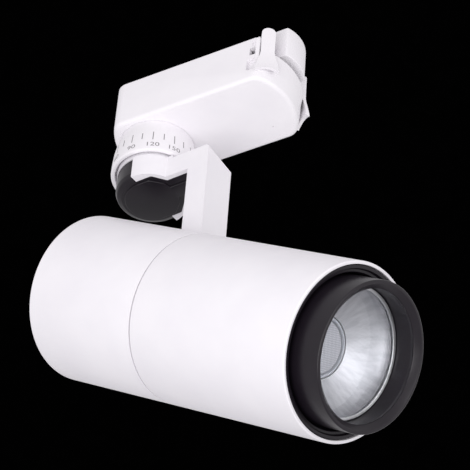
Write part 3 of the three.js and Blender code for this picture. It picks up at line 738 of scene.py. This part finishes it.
def wing_mesh(side):
    """A finger wing: a round-topped post that widens and flares out below its crease, with a scooped edge."""
    columns = 12
    bm = bmesh.new()
    front, back = [], []
    for z, half in wing_rows():
        down = max(0.0, (WING_CREASE_Z - z) / (WING_CREASE_Z - WING_BOTTOM_Z))
        out = WING_FLARE * down ** 1.3
        depth = WING_POST_DEPTH
        if z <= WING_CREASE_Z:
            depth = max(WING_TAB_DEPTH, WING_POST_DEPTH - (WING_CREASE_Z - z) * 6)
        front_row, back_row = [], []
        for i in range(columns + 1):
            across = -1 + 2 * i / columns
            lift = WING_SCOOP * (1 - across * across) * down ** 3
            front_row.append(bm.verts.new((half * across, out, z + lift)))
            back_row.append(bm.verts.new((half * across, out - depth, z + lift)))
        front.append(front_row)
        back.append(back_row)
    for rows in (front, back):
        for upper, lower in zip(rows, rows[1:]):
            bridge(bm, upper, lower, closed=False)
    for end in (0, -1):
        bridge(bm, front[end], back[end], closed=False)
    for end in (0, -1):
        bridge(bm, [row[end] for row in front], [row[end] for row in back], closed=False)
    return moved(to_mesh("wing", bm), wing_place(side))


def make_latch():
    """The nose, a web behind it out to both wings, and the stem that the spring pushes up."""
    web_half, stem_half, stem_bottom_z = 13.4, 3, -25.5
    web = block(51.4, 55.4, -web_half, web_half, NOSE_BOTTOM_Z, NOSE_BOTTOM_Z + 7.5)
    stem = block(51.6, 55.2, -stem_half, stem_half, stem_bottom_z, NOSE_BOTTOM_Z + 0.5)
    mesh = merged("latch", [nose_mesh(), web, stem, wing_mesh(-1), wing_mesh(1)])
    piece("latch_block", mesh, PART, "latch", "white_plastic", ["lock_latch"], edge=0.35)


def make_spring():
    """The latch spring as a smooth coil; the real spring shortens as the latch is pulled down."""
    spring_low, spring_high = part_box("latch_spring")
    wire = 0.35 * MM
    coil = (spring_high.x - spring_low.x) / 2 - wire
    centre = (spring_low + spring_high) / 2
    turns, steps, sides = 3.5, 120, 10
    bm = bmesh.new()
    rings = []
    for k in range(steps + 1):
        angle = 2 * math.pi * turns * k / steps
        z = spring_low.z + wire + (spring_high.z - spring_low.z - 2 * wire) * k / steps
        out = Vector((math.cos(angle), math.sin(angle), 0))
        middle = Vector((centre.x, centre.y, z)) + out * coil
        rings.append([middle + (out * math.cos(a) + Vector((0, 0, 1)) * math.sin(a)) * wire
                      for a in [2 * math.pi * s / sides for s in range(sides)]])
    loft(bm, rings)
    bmesh.ops.recalc_face_normals(bm, faces=bm.faces)
    mesh = bpy.data.meshes.new("spring")
    bm.to_mesh(mesh)
    bm.free()
    mesh.shade_smooth()
    holder = piece("spring_coil", mesh, PART, "adapter", "steel", ["latch_spring"])
    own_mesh(holder)


# ---------- degree ring ----------
ring_low, ring_high = span("scale_ring", PART)
RING_BORE = 6.3
RING_TOP_RADIUS = 15.4
RING_RADIUS = 17.2
RECESS_RADIUS = 15.5
RING_RECESS = 3.4
RING_BULGE = 0.45
RING_FOOT = 2.0                       # height of the straight foot under the bulging side
RING_COLLAR_RADIUS = RING_TOP_RADIUS - 1.0
RING_JOIN_Z = UNDERSIDE_Z - 0.12      # a thin collar closes most of the gap under the adapter


def ring_outline():
    side = []
    for k in range(9):
        z = ring_high.z - (ring_high.z - ring_low.z - RING_FOOT) * k / 8
        side.append((ring_radius(z), RING_JOIN_Z if k == 0 else z))
    foot = [(RING_RADIUS, ring_low.z, 1.3), (RECESS_RADIUS, ring_low.z, 0.4)]
    inside = [(RECESS_RADIUS, ring_low.z + RING_RECESS, 0.3), (RING_BORE, ring_low.z + RING_RECESS)]
    top = [(RING_BORE, ring_high.z), (RING_COLLAR_RADIUS, ring_high.z), (RING_COLLAR_RADIUS, RING_JOIN_Z)]
    return rounded(top + side + foot + inside)


def ring_radius(z):
    """The ring's outer radius at a height."""
    t = (ring_high.z - z) / (ring_high.z - ring_low.z - RING_FOOT)
    return RING_TOP_RADIUS + (RING_RADIUS - RING_TOP_RADIUS) * t + RING_BULGE * math.sin(math.pi * t)


PAN_REST = math.degrees(math.atan2(-tilt_axis.x, tilt_axis.y))
MARK_STEP = 15
MARK_RAISE = 0.03
MARK_SINK = 0.05
MARK_Z = -45.4
MARK_HALF_WIDTH = 0.17
LONG_HALF = 2.35
SHORT_HALF = 1.75
NUMBER_Z = -50.3
NUMBER_HEIGHT = 2.2
NUMBER_STRETCH = 1.3                  # the figures are wide for their height
NUMBER_HALF_DEPTH = 0.04
NUMBER_SINK = 0.01
FONT_SIZE_FOR_HEIGHT = 1.38


def on_ring(degrees_round, z, raise_by):
    angle = math.radians(degrees_round)
    radius = ring_radius(z) + raise_by
    return Vector((radius * math.cos(angle), radius * math.sin(angle), z))


def add_tick(bm, degrees_round, half_length):
    half = math.degrees(MARK_HALF_WIDTH / RING_RADIUS)
    rings = []
    for k in range(7):
        z = MARK_Z + half_length - 2 * half_length * k / 6
        corners = ((-half, -MARK_SINK), (half, -MARK_SINK), (half, MARK_RAISE), (-half, MARK_RAISE))
        rings.append([on_ring(degrees_round + turn, z, lift) for turn, lift in corners])
    loft(bm, rings)


def add_number(bm, value, degrees_round):
    curve = bpy.data.curves.new("number", "FONT")
    curve.body = str(value)
    curve.size = NUMBER_HEIGHT * FONT_SIZE_FOR_HEIGHT
    curve.align_x = "CENTER"
    curve.extrude = NUMBER_HALF_DEPTH
    curve.resolution_u = 3
    holder = bpy.data.objects.new("number", curve)
    scene.collection.objects.link(holder)
    bpy.context.view_layer.update()
    flat = bpy.data.meshes.new_from_object(holder.evaluated_get(bpy.context.evaluated_depsgraph_get()))
    bpy.data.objects.remove(holder)
    for vertex in flat.vertices:
        turn = math.degrees(NUMBER_STRETCH * vertex.co.x / RING_RADIUS)
        z = NUMBER_Z - NUMBER_HEIGHT / 2 + vertex.co.y
        vertex.co = on_ring(degrees_round + turn, z, vertex.co.z - NUMBER_SINK)
    bm.from_mesh(flat)


def make_ring():
    mesh = turned_mesh("ring", ring_outline(), axis="z")
    piece("degree_ring", mesh, PART, "adapter", "white_plastic", ["scale_ring"])
    bm = bmesh.new()
    for value in range(0, 360, MARK_STEP):
        degrees_round = value - 180 + PAN_REST
        long_mark = value % (2 * MARK_STEP) == 0
        add_tick(bm, degrees_round, LONG_HALF if long_mark else SHORT_HALF)
        if long_mark:
            add_number(bm, value, degrees_round)
    bmesh.ops.remove_doubles(bm, verts=bm.verts, dist=0.002)
    marks = to_mesh("marks", bm)
    piece("degree_marks", marks, PART, "adapter", "white_plastic", material="ink")


# ---------- arm ----------
DISC_TOP_Z = span("yoke_arm", ARM)[1].z
cap_low, cap_high = span("pivot_cap", ARM)
tilt_place = joints["tilt"]["pos_m"]
TILT_X = Vector(tilt_place[:2]).length / MM
TILT_DROP = -tilt_place[2] / MM
ARM_HALF = 8.6
ARM_THICKNESS = 9.1
LEG_NEAR = cap_high.x + 1.2
LEG_FAR = LEG_NEAR + ARM_THICKNESS
LEG_X = (LEG_NEAR + LEG_FAR) / 2
BAR_BOTTOM_Z = cap_low.z
BAR_TOP_Z = BAR_BOTTOM_Z + 11.0
BAR_DROP = 1.3                        # the bar's top lies this far below the drum's
BOSS_RADIUS = 15.0
CAP_RADIUS = 14.4
CAP_EDGE = 2.6
CAP_WALL = 1.6
KNUCKLE_RADIUS = 7.5
JOIN_FILLET = 0.6
FAR_START_X = 2.9                     # the white half of the drum starts here on the far side
BLACK_END_X = LEG_NEAR - 0.5          # where the black cover's tail ends
COVER_RADIUS = 11.5
COVER_TAIL = 6.5                      # half width of the cover's tail
PANEL_RADIUS = 10.5
PANEL_TAIL = 3.2
PANEL_RAISE = 0.75
HOLLOW_RADIUS = 10.9
BOLT_HOLE_RADIUS = 3.4
SPINDLE_BORE_RADIUS = 5.3
DUCT_HALF = 3.5
DUCT_BOTTOM_Z = -TILT_DROP + 13


def bar_outline():
    """The half drum's arc, a fillet into the bar's side, and the bar out to the leg's far face."""
    reach = BOSS_RADIUS + JOIN_FILLET
    rise = ARM_HALF + JOIN_FILLET
    centre_x = math.sqrt(reach ** 2 - rise ** 2)
    meet = math.degrees(math.atan2(rise, centre_x))
    side = arc((0, 0), BOSS_RADIUS, 90, meet, 24)
    side += arc((centre_x, rise), JOIN_FILLET, meet - 180, -90, 4)[1:]
    side += [(LEG_FAR, ARM_HALF)]
    far = [(x, y) for x, y in side if x > FAR_START_X]
    first_angle = math.degrees(math.acos(FAR_START_X / BOSS_RADIUS))
    far.insert(0, arc((0, 0), BOSS_RADIUS, first_angle, first_angle, 1)[0])
    near = [(x, -y) for x, y in reversed(side)]
    return far + near


def keyhole(half, radius, start_x, start_degrees):
    """A plan with a round end and a tail, from the points of its upper side; the lower side mirrors them."""
    round_end = arc((0, 0), radius, start_degrees, 180, 24)[:-1]
    upper = rounded(half + [(start_x, radius)])[:-1] + round_end
    return upper + [(x, -y) for x, y in reversed(upper)]


def cover_outline(grow=0.0):
    """The black cover's plan: a round end, short straight sides, slanted shoulders and a tail to the leg."""
    tail, radius = COVER_TAIL + grow, COVER_RADIUS + grow
    return keyhole([(BLACK_END_X + grow, tail), (11.8, tail, 0.8), (7.2, radius, 1.5)], radius, 0.4, 88)


def panel_outline():
    """The raised panel on the cover: a like plan, further in, with a narrow tail."""
    half = [(BLACK_END_X, PANEL_TAIL), (11.2, PANEL_TAIL, 0.5), (9.9, 6.3, 1.2), (5.4, 10.4, 2.0)]
    return keyhole(half, PANEL_RADIUS, 0.7, 86)


def along_y_at_tilt(mesh):
    """Lays an upright mesh along the tilt axis."""
    turn = Matrix.Rotation(math.pi / 2, 4, "X")
    return moved(mesh, Matrix.Translation((TILT_X, 0, -TILT_DROP)) @ turn)


def corner_cutter(half_length, x, y, axis):
    """A block turned by 45 degrees that takes a top corner off the leg."""
    mesh = block(-4, 4, -half_length, half_length, -4, 4)
    z = BAR_TOP_Z + (1.6 if axis == "Y" else 2)
    return moved(mesh, Matrix.Translation((x, y, z)) @ Matrix.Rotation(math.pi / 4, 4, axis))


def make_arm():
    bar = prism(bar_outline(), BAR_BOTTOM_Z, BAR_TOP_Z)
    leg = block(LEG_NEAR, LEG_FAR, -ARM_HALF, ARM_HALF, -TILT_DROP, BAR_BOTTOM_Z + 1)
    knuckle = along_y_at_tilt(drum(KNUCKLE_RADIUS, -ARM_HALF, ARM_HALF))
    disc = drum(CAP_RADIUS + 0.2, BAR_TOP_Z - 0.5, DISC_TOP_Z, steps=FINE)
    hollow_z = BAR_BOTTOM_Z + 2.5
    step = block(BOSS_RADIUS - 0.4, LEG_FAR + 5, -20, 20, BAR_TOP_Z - BAR_DROP, BAR_TOP_Z + 5)
    far_corner = corner_cutter(40, LEG_FAR + 1.6, 0, "Y")
    side_corner = corner_cutter(4, LEG_X, ARM_HALF + 2, "X")
    cavity = prism(cover_outline(0.12), BAR_BOTTOM_Z - 5, BAR_BOTTOM_Z + 3)
    hollow = drum(HOLLOW_RADIUS, hollow_z, BAR_TOP_Z - 3.4, steps=FINE)
    duct = block(LEG_X - 3.2, LEG_X + 2.2, -DUCT_HALF, DUCT_HALF, DUCT_BOTTOM_Z, BAR_BOTTOM_Z + 3)
    upper_duct = block(8, LEG_X + 2.2, -DUCT_HALF, DUCT_HALF, hollow_z, hollow_z + 4)
    exit_hole = block(LEG_X, LEG_FAR + 2, -DUCT_HALF, DUCT_HALF, DUCT_BOTTOM_Z, DUCT_BOTTOM_Z + 7)
    bolt_hole = along_y_at_tilt(drum(BOLT_HOLE_RADIUS, -20, 20, steps=32))
    spindle_bore = drum(SPINDLE_BORE_RADIUS, -100, 0, steps=48)
    cuts = [step, far_corner, side_corner, cavity, hollow]
    cuts += [duct, upper_duct, exit_hole, bolt_hole, spindle_bore]
    mesh = carved("arm", bar, joined=[leg, knuckle, disc], cut=cuts)
    piece("swivel_arm", mesh, ARM, "arm", "white_paint", ["yoke_arm"], edge=0.45)


def make_drum_cap():
    """The black drum's half bowl, the cover of the channel under the bar, and the raised panel on it."""
    bowl = rounded([
        (0, BAR_BOTTOM_Z),
        (CAP_RADIUS - CAP_EDGE, BAR_BOTTOM_Z, 0.6),
        (CAP_RADIUS - CAP_EDGE * 0.25, BAR_BOTTOM_Z + CAP_EDGE * 0.35, 1.2),
        (CAP_RADIUS, BAR_BOTTOM_Z + CAP_EDGE, 0.8),
        (CAP_RADIUS, BAR_TOP_Z - 0.9, 0.2),
        (CAP_RADIUS - CAP_WALL, BAR_TOP_Z - 0.9),
        (CAP_RADIUS - CAP_WALL, BAR_BOTTOM_Z + CAP_EDGE),
        (CAP_RADIUS - 3.4, BAR_BOTTOM_Z + 1.8),
        (0, BAR_BOTTOM_Z + 1.8),
    ])
    gap = 0.01                        # radians, between the black half and the white half
    first = math.acos(FAR_START_X / CAP_RADIUS) + gap
    half_bowl = turned_mesh("bowl", bowl, MEDIUM, "z", start=first, turn=1.5 * math.pi - 2 * gap - first)
    cover = prism(cover_outline(), BAR_BOTTOM_Z - 0.05, BAR_BOTTOM_Z + 1.7, edge=0.2)
    panel = prism(panel_outline(), BAR_BOTTOM_Z - PANEL_RAISE, BAR_BOTTOM_Z + 0.8, edge=0.4)
    mesh = merged("drum_cap", [half_bowl, cover, panel])
    piece("drum_cap", mesh, ARM, "arm", "black_plastic", ["pivot_cap"])


# ---------- head ----------
front_x0, front_x1, _, TUBE_RADIUS = turned_span("front_housing")
rear_x0, rear_x1, _, _ = turned_span("rear_housing")
TUBE_WALL = 1.3
TUBE_BORE = TUBE_RADIUS - TUBE_WALL
SLOT_HALF = 9.4
SLOT_FRONT_X = 6.4
SEAM_EASE = 0.12                      # each half stops this much short, so that the seam reads as a line
VENT_HEIGHTS = (-20, -15, -10)
VENT_HALF = 9
VENT_HALF_HEIGHT = 0.9
NOTCH_FLOOR_Z = -7.4
SCREW_HOLE_Y = 22
SCREW_HOLE_RADIUS = 1.6


def make_tubes():
    front = turned_mesh("front", rounded([
        (TUBE_BORE, front_x0 + SEAM_EASE),
        (TUBE_RADIUS, front_x0 + SEAM_EASE, 0.2),
        (TUBE_RADIUS, front_x1, 0.9),
        (TUBE_BORE, front_x1, 0.25),
    ], 5))
    notch = block(-10, SLOT_FRONT_X, -SLOT_HALF, SLOT_HALF, 10, 50)
    mesh = carved("front_tube", front, cut=[notch])
    piece("front_tube", mesh, HEAD, "head", "white_paint", ["front_housing"])
    rear = turned_mesh("rear", rounded([
        (TUBE_BORE, rear_x1 - SEAM_EASE),
        (TUBE_RADIUS, rear_x1 - SEAM_EASE, 0.2),
        (TUBE_RADIUS, rear_x0, 0.9),
        (TUBE_BORE, rear_x0, 0.3),
    ], 5), opening=SLOT_HALF)
    piece("rear_tube", rear, HEAD, "head", "white_paint", ["rear_housing"], edge=0.25)


def make_rear_cap():
    low_x, high_x, _, radius = turned_span("rear_cap")
    disc = turned_mesh("cap", rounded([(0, low_x), (radius, low_x, 0.4), (radius, high_x), (0, high_x)]))
    behind = -80
    cuts = [block(behind, 0, -SLOT_HALF, SLOT_HALF, NOTCH_FLOOR_Z, 50)]
    for z in VENT_HEIGHTS:
        cuts.append(block(behind, 0, -VENT_HALF, VENT_HALF, z - VENT_HALF_HEIGHT, z + VENT_HALF_HEIGHT))
    along_x = Matrix.Rotation(math.pi / 2, 4, "Y")
    for y in (-SCREW_HOLE_Y, SCREW_HOLE_Y):
        hole = drum(SCREW_HOLE_RADIUS, behind, 0, steps=32)
        cuts.append(moved(hole, Matrix.Translation((0, y, 0)) @ along_x))
    mesh = carved("end_cap", disc, cut=cuts)
    piece("end_cap", mesh, HEAD, "head", "white_plastic", ["rear_cap"], edge=0.3)


def make_rear_screws():
    for number in (1, 2):
        name = f"rear_cap_screw_{number}"
        screw_low, screw_high = span(name, HEAD)
        y = (screw_low.y + screw_high.y) / 2
        radius = (screw_high.y - screw_low.y) / 2
        shank = 1.3
        slot_reach = radius * 0.62
        slot_half = 0.3
        head_back = screw_low.x + 1.1
        screw = turned_mesh("screw", rounded([
            (0, screw_low.x),
            (radius * 0.7, screw_low.x, 0.8),
            (radius, screw_low.x + 0.7, 0.3),
            (radius, head_back),
            (shank, head_back),
            (shank, screw_high.x),
            (0, screw_high.x),
        ]), 40)
        bottom_x = screw_low.x + 0.6
        slot = block(screw_low.x - 1, bottom_x, -slot_reach, slot_reach, -slot_half, slot_half)
        cross = block(screw_low.x - 1, bottom_x, -slot_half, slot_half, -slot_reach, slot_reach)
        mesh = moved(carved("screw", screw, cut=[slot, cross]), Matrix.Translation((0, y, 0)))
        piece(f"cap_screw_{number}", mesh, HEAD, "head", "steel", [name], edge=0.08)


def make_flange():
    low_x, high_x, inner, outer = turned_span("front_flange")
    outline = rounded([
        (inner, low_x),
        (outer - 1.8, low_x),
        (outer - 1.8, low_x + 4.5),
        (outer, low_x + 4.5),
        (outer, high_x, 0.3),
        (outer - 1.3, high_x, 0.25),
        (outer - 1.6, high_x - 1.3, 0.2),
        (inner + 0.5, high_x - 1.3, 0.4),
        (inner, high_x - 3.0, 0.3),
    ])
    piece("mouth_flange", turned_mesh("flange", outline), HEAD, "head", "black_plastic", ["front_flange"])


def make_barrel():
    low_x, high_x, bore, outer = turned_span("zoom_barrel")
    outline = rounded([
        (bore + 0.5, low_x, 0.3),
        (outer, low_x, 0.3),
        (outer, high_x - 0.05, 0.5),
        (outer - 1.25, high_x, 0.3),
        (bore, high_x - 2.0, 0.5),
        (bore + 0.5, high_x - 3.6, 0.3),
    ])
    piece("focus_barrel", turned_mesh("barrel", outline), HEAD, "barrel", "black_plastic", ["zoom_barrel"])


def make_optics():
    low_x, high_x, inner, outer = turned_span("lens_retainer")
    piece("glass_ring", turned_mesh("ring", rounded([
        (inner, low_x, 0.1), (outer, low_x), (outer, high_x, 0.1), (inner, high_x - 0.3, 0.2),
    ])), HEAD, "barrel", "bare_aluminium", ["lens_retainer"])
    low_x, high_x, _, outer = turned_span("lens_glass")
    piece("front_glass", turned_mesh("glass", rounded([
        (0, low_x), (outer, low_x, 0.15), (outer, high_x, 0.15), (0, high_x),
    ])), HEAD, "barrel", "lens_glass", ["lens_glass"])
    make_reflector()
    make_emitter()


def make_reflector():
    """The bowl: a smooth curve from throat to mouth in many narrow rings, with a flat rim."""
    _, high_x, _, outer = turned_span("reflector")
    wall = 0.8
    mouth = 23.2
    ring_front, ring_outer = turned_span("cob_holder")[1::2]
    throat = ring_outer + 0.35
    start_x = ring_front - 0.5
    steps = 18
    inside = []
    for k in range(steps + 1):
        t = k / steps
        radius = throat + (mouth - throat) * math.sin(t * math.pi / 2)
        inside.append((radius, start_x + (high_x - start_x) * t))
    rim_x = high_x - 0.9
    rim = [(outer, high_x), (outer, rim_x)]
    outside = [(min(radius + wall, outer), min(x - wall * 0.4, rim_x)) for radius, x in inside[:-1]]
    mesh = turned_mesh("bowl", inside + rim + outside[::-1])
    piece("mirror_bowl", mesh, HEAD, "barrel", "reflector_mirror", ["reflector"])


def make_emitter():
    low_x, high_x, _, radius = turned_span("cob_emitter")
    piece("chip_face", turned_mesh("chip", rounded([
        (0, low_x), (radius, low_x), (radius, high_x, 0.35), (0, high_x),
    ])), HEAD, "head", "emitter", ["cob_emitter"])
    low_x, high_x, inner, outer = turned_span("cob_holder")
    piece("chip_ring", turned_mesh("chip_ring", rounded([
        (inner, low_x), (outer, low_x), (outer, high_x - 0.5, 0.2), (inner + 0.25, high_x, 0.15),
        (inner, high_x - 0.3),
    ])), HEAD, "head", "clear_plastic", ["cob_holder"])


# ---------- carried CAD nodes ----------
slot_of_node = {part["node"]: part["material_slot"] for part in frame["record"]["subparts"]}
# painted shade: the coupling sleeve gets a near-black material in place of its bare aluminium slot, so that the
# tube seam reads as a shadowed line
SEAM_SHADE_MATERIALS = {"coupling_sleeve": "sleeve_painted_shade"}


def finish_carried_nodes():
    """Each CAD node that stays gets its slot's material, the coupling sleeve a near-black painted seam shade
    instead, and its edges are rounded a little.
    """
    for name, holder in frame["nodes"].items():
        holder.data.materials.clear()
        holder.data.materials.append(materials[SEAM_SHADE_MATERIALS.get(name, slot_of_node[name])])
        weld = holder.modifiers.new("weld", "WELD")
        weld.merge_threshold = 0.002 * MM
        flat = holder.modifiers.new("flat", "DECIMATE")
        flat.decimate_type = "DISSOLVE"
        flat.angle_limit = math.radians(1)
        soften(holder, 0.2, 2)


def make_stage():
    """A pale floor well below the light, and a dark panel far behind it."""
    pale = grained("floor", (0.70, 0.70, 0.71), (0.74, 0.74, 0.75), 0.7, grain=60.0)
    black = (0.0004, 0.0004, 0.0004)
    dark = grained("panel", black, (0.0006, 0.0006, 0.0006), 1.0, Specular_IOR_Level=0.0)
    for name, centre, normal, half, material in (
        ("floor", Vector((0, 0, FLOOR_Z)), Vector((0, 0, 1)), FLOOR_HALF, pale),
        ("panel", AIM - CAMERA_BACK * PANEL_DISTANCE, CAMERA_BACK, PANEL_HALF, dark),
    ):
        bm = bmesh.new()
        bmesh.ops.create_grid(bm, x_segments=8, y_segments=8, size=half)
        mesh = bpy.data.meshes.new(name)
        bm.to_mesh(mesh)
        bm.free()
        mesh.materials.append(material)
        holder = bpy.data.objects.new(name, mesh)
        scene.collection.objects.link(holder)
        holder.matrix_world = Matrix.Translation(centre) @ normal.to_track_quat("Z", "Y").to_matrix().to_4x4()


make_lights()
make_stage()
finish_carried_nodes()
make_adapter_housing()
make_latch()
make_spring()
make_ring()
make_arm()
make_drum_cap()
make_tubes()
make_rear_cap()
make_rear_screws()
make_flange()
make_barrel()
make_optics()
